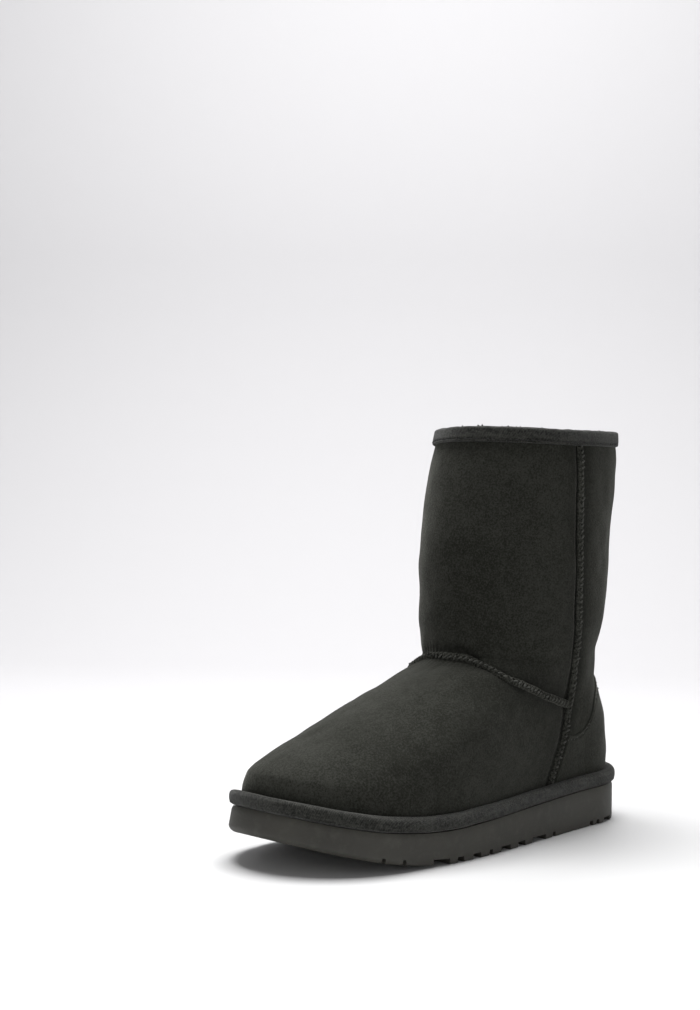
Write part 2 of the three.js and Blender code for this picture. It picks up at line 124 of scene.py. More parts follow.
def along_at(x):
    """Place along the sole, from 0 at the heel to 1 at the toe."""
    return np.clip(x / SOLE_LENGTH + 0.5, 0, 1)


def past(start, along):
    """How far along the sole a place lies from a start (0) to the toe (1)."""
    return np.clip((along - start) / (1 - start), 0, 1)


def sole_bottom(x):
    return TOE_SPRING * past(SPRING_START, along_at(x)) ** SPRING_POWER


def feather_line(x):
    """The line where the upper meets the sole."""
    return sole_bottom(x) + thickness_at(along_at(x)) + CLEARANCE


# along the sole, half width of the upper's foot to the outer side, to the inner side
HEEL_HALF = HEEL_WIDTH / 2 - FEATHER_INSET
FOOTPRINT = [
    (0, HEEL_HALF, HEEL_HALF),
    (0.13, HEEL_HALF, HEEL_HALF),
    (0.4, 0.42 * BALL_WIDTH - FEATHER_INSET, 0.37 * BALL_WIDTH - FEATHER_INSET),
    (0.7, 0.503 * BALL_WIDTH - FEATHER_INSET, 0.497 * BALL_WIDTH - FEATHER_INSET),
    (0.85, 0.498 * BALL_WIDTH - FEATHER_INSET, 0.44 * BALL_WIDTH - FEATHER_INSET),
    (1, 0.483 * BALL_WIDTH - FEATHER_INSET, 0.425 * BALL_WIDTH - FEATHER_INSET),
]
outer_print = curve_through(FOOTPRINT, 1)
inner_print = curve_through(FOOTPRINT, 2)

# level (0 sole, 1 instep seam, 2 collar), back end as a share of the sole's length, depth as a share of
# the shaft's, reach as a share of the vamp's, footprint's part, swell, rounding of the toe and the heel
SECTIONS = [
    (0.0, -0.4764, 1.0, 1.0, 1.0, 1.0, 0.198, 0.135),
    (0.11, -0.4836, 1.0, 1.022, 1.0, 1.055, 0.211, 0.151),
    (0.235, -0.4818, 1.0, 1.004, 0.95, 1.065, 0.236, 0.156),
    (0.36, -0.4745, 0.98, 0.927, 0.85, 1.055, 0.265, 0.168),
    (0.51, -0.4618, 0.96, 0.75, 0.7, 1.03, 0.31, 0.192),
    (0.68, -0.4335, 0.931, 0.49, 0.5, 1.0, 0.384, 0.235),
    (0.85, -0.415, 0.922, 0.212, 0.3, 0.98, 0.48, 0.317),
    (1.0, -0.4165, 0.944, 0.0, 0.15, 0.98, 0.53, 0.43),
    (1.06, -0.4236, 0.96, 0.0, 0.06, 0.985, 0.5, 0.45),
    (1.16, -0.4364, 0.988, 0.0, 0.0, 1.0, 0.47, 0.455),
    (1.36, -0.456, 1.032, 0.0, 0.0, 1.01, 0.48, 0.48),
    (1.55, -0.469, 1.056, 0.0, 0.0, 1.01, 0.49, 0.49),
    (1.78, -0.48, 1.04, 0.0, 0.0, 1.01, 0.49, 0.49),
    (2.0, -0.4836, 1.0, 0.0, 0.0, 0.985, 0.49, 0.49),
]
back_at, depth_at, reach_at, foot_at, swell_at, toe_round_at, heel_round_at = [
    curve_through(SECTIONS, column) for column in range(1, 8)
]
VAMP_LENGTH = SOLE_LENGTH - SHAFT_DEPTH - 2 * FEATHER_INSET
FOOT_RISE = INSTEP_HEIGHT - HEEL_THICKNESS
SHAFT_RISE = BOOT_HEIGHT - INSTEP_HEIGHT
LIFT_END = 1.07  # level at which the rings no longer follow the sole's curve
DISH_START = 1.13  # level at which the rings begin to follow the collar's dish
ROUND_POWER = 2  # a circle's, for the rounding of a ring's ends
BLUNT_TOE = 0.2  # added to that power at the toe


def ring_ends(level):
    """The x of a ring's back and front."""
    back = back_at(level) * SOLE_LENGTH
    return back, back + depth_at(level) * SHAFT_DEPTH + reach_at(level) * VAMP_LENGTH


def round_end(t, power):
    """The width of a rounded end, from 0 at its tip to 1."""
    return (1 - (1 - np.clip(t, 0, 1)) ** power) ** (1 / power)


def surface_point(angle, level):
    """A point of the upper's outer face: angle is 0 at the front and positive on the outer side."""
    angle, level = np.broadcast_arrays(np.asarray(angle, float), np.asarray(level, float))
    back, front = ring_ends(level)
    t = (1 + np.cos(angle)) / 2
    x = back + (front - back) * t
    along = along_at(x)
    foot = foot_at(level)
    outer = np.sin(angle) >= 0
    width = np.where(outer, outer_print(along), inner_print(along))
    half = (SHAFT_WIDTH / 2 * (1 - foot) + width * foot) * swell_at(level)
    heel_end = round_end(t / heel_round_at(level), ROUND_POWER)
    toe_end = round_end((1 - t) / toe_round_at(level), ROUND_POWER + BLUNT_TOE * foot)
    swing = TOE_SWING * past(SWING_START, along) ** SWING_POWER
    y = np.where(outer, half, -half) * (heel_end * toe_end) - swing
    flat = np.where(level < 1, HEEL_THICKNESS + level * FOOT_RISE, INSTEP_HEIGHT + (level - 1) * SHAFT_RISE)
    lift = (feather_line(x) - HEEL_THICKNESS) * (1 - smooth(level / LIFT_END))
    collar_back, collar_front = ring_ends(2.0)
    to_end = (x - (collar_back + collar_front) / 2) / (SHAFT_DEPTH / 2)
    dish = COLLAR_DISH * to_end**2 - COLLAR_LEAN / 2 * to_end
    z = flat + lift + dish * smooth((level - DISH_START) / (2 - DISH_START))
    return np.stack([x, y, z], -1)


# level, the side seam's place as a share of the sole's length from its middle
SIDE_SEAM = [
    (0, -0.179),
    (0.12, -0.187),
    (0.25, -0.204),
    (0.42, -0.223),
    (0.6, -0.231),
    (0.8, -0.235),
    (1.0, -0.23),
    (1.2, -0.223),
    (2, -0.224),
]
# way round from the front centre (0) to the side seam (1), the instep seam's level
INSTEP_SEAM = [(0, 1.0), (0.16, 0.995), (0.32, 0.96), (0.55, 0.875), (0.78, 0.765), (1, 0.635)]
side_seam_at = curve_through(SIDE_SEAM, 1)
instep_seam_level = curve_through(INSTEP_SEAM, 1)


def panel_point(c, r):
    """The upper by its panels: c is 0 at the front centre, 1 at the outer side seam, 2 at the back and
    negative on the inner side, and r is 0 at the sole, 1 along the instep seam and 2 at the collar."""
    c, r = np.broadcast_arrays(np.asarray(c, float), np.asarray(r, float))
    around = np.abs(c)
    seam = instep_seam_level(np.minimum(around, 1))
    level = np.where(r < 1, r * seam, seam + (r - 1) * (2 - seam))
    back, front = ring_ends(level)
    side_angle = np.arccos(2 * (side_seam_at(level) * SOLE_LENGTH - back) / (front - back) - 1)
    angle = np.where(around < 1, around * side_angle, side_angle + (around - 1) * (math.pi - side_angle))
    return surface_point(np.where(c < 0, -angle, angle), level)


NUDGE = 1e-3


def unit(v):
    """Arrows of length 1."""
    return v / np.linalg.norm(v, axis=-1, keepdims=True)


def panel_normal(c, r):
    """The way out of the upper's outer face, level at its two open edges."""
    c, r = np.broadcast_arrays(np.asarray(c, float), np.asarray(r, float))
    c = np.where(np.abs(c) > 2 - NUDGE, np.sign(c) * (2 - NUDGE), c)
    side = panel_point(c + NUDGE, r) - panel_point(c - NUDGE, r)
    up = panel_point(c, np.minimum(r + NUDGE, 2)) - panel_point(c, np.maximum(r - NUDGE, 0))
    normal = unit(np.cross(side, up))
    normal[..., 2] *= smooth(r / 0.1) * smooth((2 - r) / 0.1)
    return unit(normal)


def per_around(c, r):
    """Millimetres over the upper's face for one unit of c."""
    return np.linalg.norm(panel_point(c + NUDGE, r) - panel_point(c - NUDGE, r), axis=-1) / (2 * NUDGE)


def per_rise(c, r):
    """Millimetres over the upper's face for one unit of r."""
    low, high = np.maximum(r - NUDGE, 0), np.minimum(r + NUDGE, 2)
    return np.linalg.norm(panel_point(c, high) - panel_point(c, low), axis=-1) / (high - low)


# Outsole
# One piece of moulded foam rubber. Its wall stands straight at the heel and leans out a little at the
# toe, where the lower edge is bevelled, and grooves cross its tread and show as notches in its edge.
TOE_FLARE = 1.6
GROOVE_DEPTH = 3.0
EDGE_BEVEL = 0.8
# place as a share of the sole's length from its middle, width
GROOVES = [
    (0.345, 2),
    (0.3, 2),
    (0.206, 12),
    (0.154, 5),
    (0.105, 6.5),
    (0.06, 3),
    (0.009, 9),
    (-0.048, 7.5),
    (-0.115, 14),
    (-0.174, 3),
    (-0.327, 3.5),
    (-0.352, 3),
    (-0.395, 10),
]
# along the sole, size of the bevel on its lower edge
BEVELS = [(0, 2.0), (0.1, EDGE_BEVEL), (0.72, EDGE_BEVEL), (0.9, 3.4), (1, 4.5)]
bevel_at = curve_through(BEVELS, 1)


def loop_round_foot(turn, out):
    """Points in plan, at a distance out from the foot of the upper."""
    point = surface_point(turn, 0.0)
    ahead = surface_point(turn + NUDGE, 0.0) - surface_point(turn - NUDGE, 0.0)
    normal = unit(np.stack([ahead[..., 1], -ahead[..., 0]], -1))
    distance = out(along_at(point[..., 0])) if callable(out) else out
    return point[..., :2] + normal * np.asarray(distance)[..., None]


def shell(name, grid, wrap_rows=True, wrap_columns=True, lengths=None, sharp=None):
    """A mesh from a grid of points in millimetres, with a map in metres where lengths are given."""
    rows, columns = grid.shape[:2]
    index = np.arange(rows * columns).reshape(rows, columns)
    if wrap_rows:
        index = np.vstack([index, index[:1]])
    if wrap_columns:
        index = np.hstack([index, index[:, :1]])
    corners = [index[:-1, :-1], index[:-1, 1:], index[1:, 1:], index[1:, :-1]]
    quads = np.stack(corners, -1).reshape(-1, 4)
    points = (grid.reshape(-1, 3) + PLAN_SHIFT) / 1000
    a, b, c, d = [points[quads[:, i]] for i in range(4)]
    volume = np.einsum("ij,ij->", a, np.cross(b, c)) + np.einsum("ij,ij->", a, np.cross(c, d))
    inside_out = volume < 0
    if inside_out:
        quads = quads[:, ::-1]
    mesh = bpy.data.meshes.new(name)
    mesh.from_pydata(points.tolist(), [], quads.tolist())
    if lengths is not None:
        v, u = lengths
        us, vs = np.meshgrid(u / 1000, v / 1000)
        pairs = np.stack([us, vs], -1)
        mapped = [pairs[:-1, :-1], pairs[:-1, 1:], pairs[1:, 1:], pairs[1:, :-1]]
        mapped = np.stack(mapped, 2).reshape(-1, 4, 2)
        if inside_out:
            mapped = mapped[:, ::-1]
        layer = mesh.uv_layers.new(name="UVMap")
        layer.data.foreach_set("uv", mapped.reshape(-1).astype(np.float32))
    mesh.shade_smooth()
    if sharp:
        mesh.set_sharp_from_angle(angle=math.radians(sharp))
    return mesh


def mark(mesh, name, values, kind="FLOAT"):
    """Writes a number or a vector on each point of a mesh."""
    layer = mesh.attributes.new(name, kind, "POINT")
    field = "value" if kind == "FLOAT" else "vector"
    layer.data.foreach_set(field, np.asarray(values, np.float32).reshape(-1))


def placed(name, data):
    """A new object in the scene."""
    made = bpy.data.objects.new(name, data)
    bpy.context.scene.collection.objects.link(made)
    return made


def piece(name, mesh, finish, slot, *stands_for):
    """Adds a finished mesh to the boot."""
    made = placed(name, mesh)
    mesh.materials.clear()
    mesh.materials.append(finish)
    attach(made, "root")
    if stands_for:
        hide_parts(*stands_for)
    return made


class Value:
    """A socket that takes part in Python expressions."""

    def __init__(self, nodes, socket):
        self.nodes = nodes
        self.socket = socket

    def math(self, operation, a, b):
        return self.nodes.add("ShaderNodeMath", {"operation": operation}, {0: a, 1: b})

    def __add__(self, other):
        return self.math("ADD", self, other)

    def __rsub__(self, other):
        return self.math("SUBTRACT", other, self)

    def __mul__(self, other):
        return self.math("MULTIPLY", self, other)

    __radd__ = __add__
    __rmul__ = __mul__


class Nodes:
    """A node tree that is written as calls."""

    def __init__(self, tree):
        self.tree = tree

    def add(self, kind, settings=None, inputs=None, output=0):
        node = self.tree.nodes.new(kind)
        for name, value in (settings or {}).items():
            if name == "stops":
                ramp = node.color_ramp
                while len(ramp.elements) < len(value):
                    ramp.elements.new(0.5)
                for element, (place, shade) in zip(ramp.elements, value):
                    element.position = place
                    element.color = (*shade, 1) if len(shade) == 3 else shade
            else:
                setattr(node, name, value)
        for name, value in (inputs or {}).items():
            if isinstance(value, Value):
                self.tree.links.new(value.socket, node.inputs[name])
            else:
                node.inputs[name].default_value = value
        return Value(self, node.outputs[output]) if node.outputs else None


class Finish(Nodes):
    """A material with one main shader."""

    def __init__(self, name, **fixed):
        self.material = bpy.data.materials.new(name)
        self.material.use_nodes = True
        super().__init__(self.material.node_tree)
        self.shader = self.tree.nodes["Principled BSDF"]
        for socket, value in fixed.items():
            self.shader.inputs[socket.replace("_", " ")].default_value = value
        self.place = self.add("ShaderNodeTexCoord", output=3)  # object coordinates
        self.map = self.add("ShaderNodeTexCoord", output=2)  # the piece's own map

    def noise(self, per_metre, detail=2.0, rough=0.5, at=None):
        inputs = {"Vector": at or self.place, "Scale": per_metre, "Detail": detail, "Roughness": rough}
        return self.add("ShaderNodeTexNoise", None, inputs)

    def ramp(self, value, *stops):
        grey = [(place, (shade, shade, shade)) for place, shade in stops]
        return self.add("ShaderNodeValToRGB", {"stops": grey}, {"Fac": value})

    def blend(self, factor, a, b):
        colours = [(*shade, 1) if isinstance(shade, tuple) else shade for shade in (a, b)]
        inputs = {0: factor, 6: colours[0], 7: colours[1]}
        return self.add("ShaderNodeMix", {"data_type": "RGBA"}, inputs, output=2)

    def set(self, socket, value):
        self.tree.links.new(value.socket, self.shader.inputs[socket])

    def bump(self, height, distance, strength=1.0, under=None):
        inputs = {"Height": height, "Distance": distance, "Strength": strength}
        if under:
            inputs["Normal"] = under
        return self.add("ShaderNodeBump", None, inputs)


foam = Finish("foam_rubber", Roughness=0.62, Specular_IOR_Level=0.35)
cells = foam.noise(900, 2)
patches = foam.noise(38, 3)
marks = foam.ramp(foam.noise(160, 4, 0.65), (0.5, 0), (0.72, 1))
cloudy = foam.ramp(patches, (0.3, 0), (0.7, 1))
foam_colour = foam.blend(cloudy, (0.0335, 0.0323, 0.0268), (0.047, 0.0452, 0.0378))
foam.set("Base Color", foam.blend(marks * 0.35, foam_colour, (0.07, 0.0685, 0.058)))
foam.set("Roughness", 0.55 + patches * 0.2)
foam.set("Normal", foam.bump(cells + patches * 0.6, 0.00022, 0.6))

all_turns = np.linspace(0, 2 * math.pi, 6001)[:-1]
wall_loop = loop_round_foot(all_turns, FEATHER_INSET)
toe_turn = all_turns[np.argmax(wall_loop[:, 0])]
toe_turn = toe_turn - 2 * math.pi if toe_turn > math.pi else toe_turn
heel_turn = all_turns[np.argmin(wall_loop[:, 0])]
groove_edges = []
for share, width in GROOVES:
    for edge in (-width / 2, width / 2):
        groove_edges += [share * SOLE_LENGTH + edge - 0.2, share * SOLE_LENGTH + edge + 0.2]
low_x, high_x = wall_loop[:, 0].min(), wall_loop[:, 0].max()
stations = (low_x + high_x) / 2 + (high_x - low_x) / 2 * np.cos(np.linspace(0, math.pi, 220))
far_from_edges = [x for x in stations if min(abs(x - edge) for edge in groove_edges) > 0.35]
stations = np.array(sorted(far_from_edges + groove_edges, reverse=True))


def groove_depth(x):
    """How deep the tread is cut at x."""
    depth = np.zeros_like(x)
    for share, width in GROOVES:
        inside = np.abs(x - share * SOLE_LENGTH) < width / 2
        depth = np.where(inside, GROOVE_DEPTH, depth)
    return depth


def turns_at(side):
    """The turn round the foot at each station, on the outer side (1) or the inner side (-1)."""
    end = heel_turn if side > 0 else heel_turn - 2 * math.pi
    turns = np.linspace(toe_turn, end, 3000)
    x = loop_round_foot(turns, FEATHER_INSET)[:, 0]
    return np.interp(-stations, -x, turns)


# Wall of the outsole from the tread up: its share of the bevel inwards, of the bevel up and of the wall
WALL = [(1, 0, 0), (0.62, 0.12, 0), (0.3, 0.38, 0), (0.08, 0.72, 0), (0, 1, 0)]
WALL += [(0, 1, share) for share in (0.25, 0.5, 0.75, 0.93)]
tread = sole_bottom(stations)
sole_sides = {}
for side in (1, -1):
    turns = turns_at(side)
    along = along_at(surface_point(turns, 0.0)[:, 0])
    flare = TOE_FLARE * smooth((along - 0.6) / 0.35)
    bevel = bevel_at(along)
    outline = []
    for inward, up, wall in WALL:
        out = FEATHER_INSET + flare * (1 - wall) - bevel * inward
        plan = loop_round_foot(turns, out)
        low = tread + bevel * up
        z = low + (tread + thickness_at(along_at(stations)) - EDGE_BEVEL - low) * wall
        z = np.maximum(z, tread + groove_depth(stations))
        outline.append(np.stack([plan[:, 0], plan[:, 1], z], -1))
    rim = loop_round_foot(turns, FEATHER_INSET - EDGE_BEVEL)
    outline.append(np.stack([rim[:, 0], rim[:, 1], feather_line(stations) - CLEARANCE], -1))
    sole_sides[side] = outline


def between(a, b, count):
    """Rows of points evenly between two others."""
    return [a * (1 - share) + b * share for share in np.linspace(0, 1, count)[1:-1]]


across = between(sole_sides[-1][0], sole_sides[1][0], 12)
top_across = between(sole_sides[1][-1], sole_sides[-1][-1], 5)
sole_grid = np.stack([sole_sides[-1][0], *across, *sole_sides[1], *top_across, *sole_sides[-1][:0:-1]], 1)
outsole_mesh = shell("outsole_moulded", sole_grid, wrap_rows=False, sharp=38)
piece("outsole_moulded", outsole_mesh, foam.material, "sole_foam", "outsole")

# Insole
# A pad of sheepskin with its wool up, laid on the outsole inside the boot. Its edge follows the inner
# face of the upper.
HIDE = 2.6
WELT_HEIGHT = 8.4


def soft_waves(points, wavelength, seed):
    """Smooth unevenness of about -1 to 1 over points in millimetres, the same on each run."""
    rng = np.random.default_rng(seed)
    ways = unit(rng.normal(size=(16, 3))) / (wavelength * rng.uniform(0.7, 1.5, (16, 1)))
    phase = points @ ways.T * 2 * math.pi + rng.uniform(0, 2 * math.pi, 16)
    return np.sin(phase).sum(-1) / 5


wool = Finish("wool_pile", Roughness=0.95, Specular_IOR_Level=0.15, Sheen_Weight=0.12, Sheen_Roughness=0.5)
locks = wool.noise(260, 3)
wool_shade = wool.ramp(locks, (0.3, 0), (0.72, 1))
wool.set("Base Color", wool.blend(wool_shade, (0.007, 0.007, 0.007), (0.022, 0.021, 0.02)))
wool.set("Normal", wool.bump(wool.noise(1500, 3) + locks, 0.0006, 0.8))

columns = np.linspace(-2, 2, 241)[:-1]
pad_rings = []
for push, up in [(0, 0.6), (0, 3.0), (0, 4.8), (1.2, 5.7)]:
    seam = instep_seam_level(np.minimum(np.abs(columns), 1))
    foot = panel_point(columns, up / FOOT_RISE / seam)
    normal = panel_normal(columns, 0.0)
    ring = foot - normal * (HIDE + 2 * CLEARANCE + push)
    ring[:, 2] = feather_line(ring[:, 0]) + up - CLEARANCE
    pad_rings.append(ring)
edge_ring = pad_rings[-1]
midline_y = np.interp(edge_ring[:, 0], [-130, 30, 130], [0, 0, -12])
midline = np.stack([edge_ring[:, 0], midline_y, edge_ring[:, 2]], -1)
for share in np.linspace(0.08, 1, 16):
    ring = edge_ring * (1 - share) + midline * share
    ring[:, 2] = feather_line(ring[:, 0]) + 5.4 + 0.5 * soft_waves(ring, 9, 3)
    pad_rings.append(ring)
low_midline = np.stack([pad_rings[0][:, 0], midline_y, pad_rings[0][:, 2]], -1)
under = pad_rings[0] * 0.5 + low_midline * 0.5
pad_grid = np.stack([low_midline, under, *pad_rings], 0)
pad_mesh = shell("insole_pad", pad_grid, wrap_rows=False)
insole_pad = piece("insole_pad", pad_mesh, wool.material, "fleece", "insole")

# Upper
# Sheepskin with its suede side out: a vamp, a front shaft panel and a back shaft panel, butted and sewn
# together. The wool behind the hide fills it out between the seams, which pull it in.
SEAM_WIDTH = 5.0
STITCH_STEP = 3.1
BINDING_HEIGHT = 7.4


def suede_finish(name, dark, light, grain=0.9):
    """Brushed suede between two shades, darkened by painted shade where a mesh's attribute along its seams is
    high.
    """
    suede = Finish(name, Roughness=0.95, Specular_IOR_Level=0.1, Sheen_Weight=0.2, Sheen_Roughness=0.4)
    suede.shader.inputs["Sheen Tint"].default_value = (0.62, 0.62, 0.56, 1)
    brushed = suede.noise(16, 3, 0.55)
    swirls = suede.noise(140, 4, 0.65)
    fibres = suede.noise(1000, 3, 0.75)
    lie = brushed * 0.25 + swirls * 0.25 + fibres * grain
    nap = suede.ramp(lie, (0.25 + 0.39 * grain, 0), (0.25 + 0.62 * grain, 1))
    specks = suede.ramp(suede.noise(1300, 1), (0.6, 0), (0.74, 1))
    shade = suede.blend(nap, dark, light)
    worn = suede.blend(specks * 0.24, shade, tuple(1.9 * v for v in light))
    # painted shade by the seams and in their hollows, as the mesh's attribute gives, broken into patches and
    # mixed towards a darker copy of the dark shade
    by_seam = suede.add("ShaderNodeAttribute", {"attribute_name": "by_seam"}, output=2)
    patches = suede.ramp(suede.noise(420, 3, 0.7), (0.35, 0.5), (0.6, 1))
    suede.set("Base Color", suede.blend(by_seam * patches, worn, tuple(0.35 * v for v in dark)))
    fuzz = suede.bump(fibres + suede.noise(3200, 2) * 0.6, 0.0003, 0.75)
    suede.set("Normal", suede.bump(swirls, 0.0008, 0.35, fuzz))
    return suede.material


suede = suede_finish("suede", (0.0112, 0.0117, 0.0089), (0.029, 0.0296, 0.0253))

front_columns = np.linspace(0, 1, 113)
back_columns = np.linspace(1, 2, 69)[1:]
half_columns = np.concatenate([front_columns, back_columns])
upper_columns = np.concatenate([half_columns, -half_columns[-2:0:-1]])
vamp_rows = np.linspace(0, 1, 104)
shaft_rows = np.linspace(1, 2, 110)[1:]
upper_rows = np.concatenate([vamp_rows, shaft_rows])
c_grid, r_grid = np.meshgrid(upper_columns, upper_rows)
face = panel_point(c_grid, r_grid)
face_normal = panel_normal(c_grid, r_grid)
seam_side = np.where(c_grid < 0, -1.0, 1.0)
from_side_seam = np.abs(np.abs(c_grid) - 1) * per_around(seam_side, r_grid)
from_instep_seam = np.abs(r_grid - 1) * per_rise(c_grid, np.ones_like(r_grid))
from_crossing = np.hypot(from_instep_seam, from_side_seam)
from_instep_seam = np.where(np.abs(c_grid) > 1, from_crossing, from_instep_seam)

# Folds pressed in: from (c, r) to (c, r), depth, width
FOLDS = [
    ((0.0, 1.13), (0.62, 1.2), 1.5, 7.0),
    ((0.0, 1.13), (-0.62, 1.2), 1.4, 7.0),
    ((0.28, 1.3), (0.85, 1.36), 0.8, 8.0),
    ((-0.25, 1.32), (-0.8, 1.34), 0.9, 8.0),
    ((1.35, 1.27), (2.0, 1.3), 1.0, 8.0),
    ((-1.35, 1.28), (-2.0, 1.3), 1.0, 8.0),
    ((0.3, 0.82), (0.86, 0.72), 0.9, 8.0),
    ((-0.3, 0.82), (-0.86, 0.72), 0.9, 8.0),
    ((0.45, 1.55), (0.5, 1.9), 0.7, 12.0),
]
# Places where the wool fills the hide out: (c, r), height, width
BULGES = [
    ((-0.45, 1.2), 1.6, 18.0),
    ((-0.45, 1.42), 1.4, 20.0),
    ((-0.5, 1.7), 2.0, 22.0),
    ((0.1, 1.5), 0.6, 24.0),
]
push = 0.45 * soft_waves(face, 46, 7) + 0.16 * soft_waves(face, 15, 8)
for spot, height, width in BULGES:
    away = np.linalg.norm(face - panel_point(*spot), axis=-1)
    push += height * np.exp(-((away / width) ** 2))
for start, end, depth, width in FOLDS:
    a, b = panel_point(*start), panel_point(*end)
    share = np.clip(((face - a) @ (b - a)) / ((b - a) @ (b - a)), 0, 1)
    away = np.linalg.norm(face - a - share[..., None] * (b - a), axis=-1)
    fade = 0.35 + 0.65 * np.sin(math.pi * np.clip(share, 0.04, 0.96))
    push -= depth * np.exp(-((away / width) ** 2)) * fade
push -= 1.0 * np.exp(-((from_side_seam / 6.0) ** 2)) + 1.0 * np.exp(-((from_instep_seam / 6.0) ** 2))
pucker = np.sin(2 * math.pi * face[..., 2] / STITCH_STEP) * np.exp(-((from_side_seam / 3.6) ** 2))
pucker_low = np.sin(2 * math.pi * face[..., 1] / 3.3) * np.exp(-((from_instep_seam / 3.4) ** 2))
push += 0.24 * pucker + 0.22 * pucker_low
in_front = np.abs(c_grid) < 1
push -= 0.8 * in_front * np.exp(-(((from_side_seam - 2.9) / 1.2) ** 2))
edges = smooth(r_grid / 0.12) * smooth((2 - r_grid) / 0.06)
push = push * edges
outer_face = face + face_normal * push[..., None]
inner_rows = np.concatenate([np.linspace(2, 1, 12), np.linspace(1, 0, 14)[1:]])
c_in, r_in = np.meshgrid(upper_columns, inner_rows)
inner_face = panel_point(c_in, r_in) - panel_normal(c_in, r_in) * HIDE
upper_mesh = shell("upper_hide", np.concatenate([outer_face, inner_face]), sharp=60)
# Painted shade: the suede is darkened along a seam's edge, and in the hollow that the seam pulls in
beside_side = np.exp(-(((from_side_seam - 3.0) / 1.5) ** 2)) * np.where(in_front, 0.85, 0.3)
beside_instep = np.exp(-(((from_instep_seam - 3.2) / 1.7) ** 2)) * np.where(r_grid > 1, 0.9, 0.25)
hollow_side = 0.75 * np.exp(-((from_side_seam / 10.0) ** 2))
hollow_instep = 0.9 * np.exp(-((from_instep_seam / 11.0) ** 2)) * smooth((np.abs(c_grid) - 0.3) / 0.4)
across_front = np.maximum(beside_instep, hollow_instep) * in_front
by_seam = np.maximum.reduce([beside_side, hollow_side, across_front]) * edges
mark(upper_mesh, "by_seam", np.concatenate([by_seam, np.zeros_like(c_in)]))
piece("upper_hide", upper_mesh, suede, "suede", "upper")

# Seams
# The panels' edges meet in a raised ridge, rolled and puckered by its thread: one up each side and one
# across the instep. Slanting stitches of grey thread hold it.
SEAM_RISE = 1.9
SEAM_SUNK = 1.05  # how far the ridge's foot lies under the panels' face
INSTEP_STITCH_STEP = 3.2
STITCH_RISE = 0.6  # how far over the panels' face the stitches lie
STITCH_WANDER = 0.16
STITCH_TURN = 0.28  # unevenness of the stitches' directions, as a share of their length


def way(path):
    """Directions along a path of points."""
    return unit(np.gradient(path, axis=0))


def lengths_along(path):
    """Millimetres from a path's start to each of its points."""
    return np.concatenate([[0], np.cumsum(np.linalg.norm(np.diff(path, axis=0), axis=1))])


def seam_ridge(name, c, r, finish, lean=0):
    """A puckered ridge along a path over the upper, and the path's points and directions. A ridge
    that leans is lower on one side: lean is 1 or -1."""
    path = panel_point(c, r)
    normal = panel_normal(c, r)
    side = np.cross(way(path), normal)
    run = lengths_along(path)
    bars = np.linspace(-1, 1, 15)
    rows = []
    for bar in bars:
        lips = SEAM_RISE * (1 - abs(bar) ** 2.4) ** 0.7 - 0.5 * math.exp(-((bar / 0.2) ** 2))
        gather = np.sin(2 * math.pi * run / STITCH_STEP + 2.2 * bar) * (1 - bar**2)
        wander = 0.25 * np.sin(2 * math.pi * run / 41) + 0.15 * np.sin(2 * math.pi * run / 17)
        kept = 1 - 0.5 * smooth(0.3 - bar * lean) if lean else 1.0
        height = (lips - SEAM_SUNK) * kept + 0.5 * gather
        reach = bar * (SEAM_WIDTH / 2 - 0.15 + 0.12 * gather) + wander
        rows.append(path + normal * height[:, None] + side * reach[:, None])
    for bar in (0.7, -0.7):
        rows.append(path - normal * 2.0 + side * bar * SEAM_WIDTH / 2)
    grid = np.stack(rows, 0)
    ends = grid.mean(axis=0, keepdims=True)
    closed = np.concatenate([ends[:, :1].repeat(len(rows), 0), grid, ends[:, -1:].repeat(len(rows), 0)], 1)
    mesh = shell(name, closed, wrap_columns=False)
    piece(name, mesh, finish, "suede")
    return path, normal, side


# The ridges' suede is darker and more mottled than the panels'. This is partly the rolled edges' own tone and
# partly painted shade standing in for the shadows between the puckers.
seam_suede = suede_finish("seam_suede", (0.0065, 0.0068, 0.0054), (0.05, 0.051, 0.0437), 1.2)
thread = Finish("grey_thread", Roughness=0.7, Specular_IOR_Level=0.3)
strands = thread.noise(2600, 2)
thread.set("Base Color", thread.blend(strands, (0.03, 0.0303, 0.0265), (0.078, 0.079, 0.07)))
thread.set("Normal", thread.bump(strands, 0.0001, 0.6))


def new_tree(name, *inputs):
    """A Geometry Nodes tree from mesh to mesh with more inputs, and the values of all its inputs."""
    tree = bpy.data.node_groups.new(name, "GeometryNodeTree")
    tree.interface.new_socket("Geometry", in_out="OUTPUT", socket_type="NodeSocketGeometry")
    for label, kind in (("Geometry", "Geometry"), *inputs):
        tree.interface.new_socket(label, in_out="INPUT", socket_type="NodeSocket" + kind)
    nodes = Nodes(tree)
    return nodes, [nodes.add("NodeGroupInput", output=i) for i in range(len(inputs) + 1)]


def dressed_tree(nodes, copies, material):
    """Ends a tree: copies on points, as one smooth mesh in a material."""
    laid = nodes.add("GeometryNodeInstanceOnPoints", None, copies)
    real = nodes.add("GeometryNodeRealizeInstances", None, {"Geometry": laid})
    round_off = nodes.add("GeometryNodeSetShadeSmooth", None, {"Geometry": real})
    dressed = nodes.add("GeometryNodeSetMaterial", None, {"Geometry": round_off, "Material": material})
    nodes.add("NodeGroupOutput", None, {"Geometry": dressed})
    return nodes.tree


def stitch_tree():
    """Geometry nodes that lay one stitch on each point, along its direction."""
    nodes, given = new_tree("stitches", ("Thickness", "Float"), ("Length", "Float"), ("Thread", "Material"))
    bead = nodes.add("GeometryNodeMeshUVSphere", None, {"Segments": 7, "Rings": 6, "Radius": 0.5})
    along = nodes.add("GeometryNodeInputNamedAttribute", {"data_type": "FLOAT_VECTOR"}, {"Name": "along"})
    lie = nodes.add("FunctionNodeAlignEulerToVector", {"axis": "Z"}, {"Vector": along})
    size = nodes.add("ShaderNodeCombineXYZ", None, {"X": given[1], "Y": given[1], "Z": given[2]})
    return dressed_tree(nodes, {"Points": given[0], "Instance": bead, "Rotation": lie, "Scale": size}, given[3])


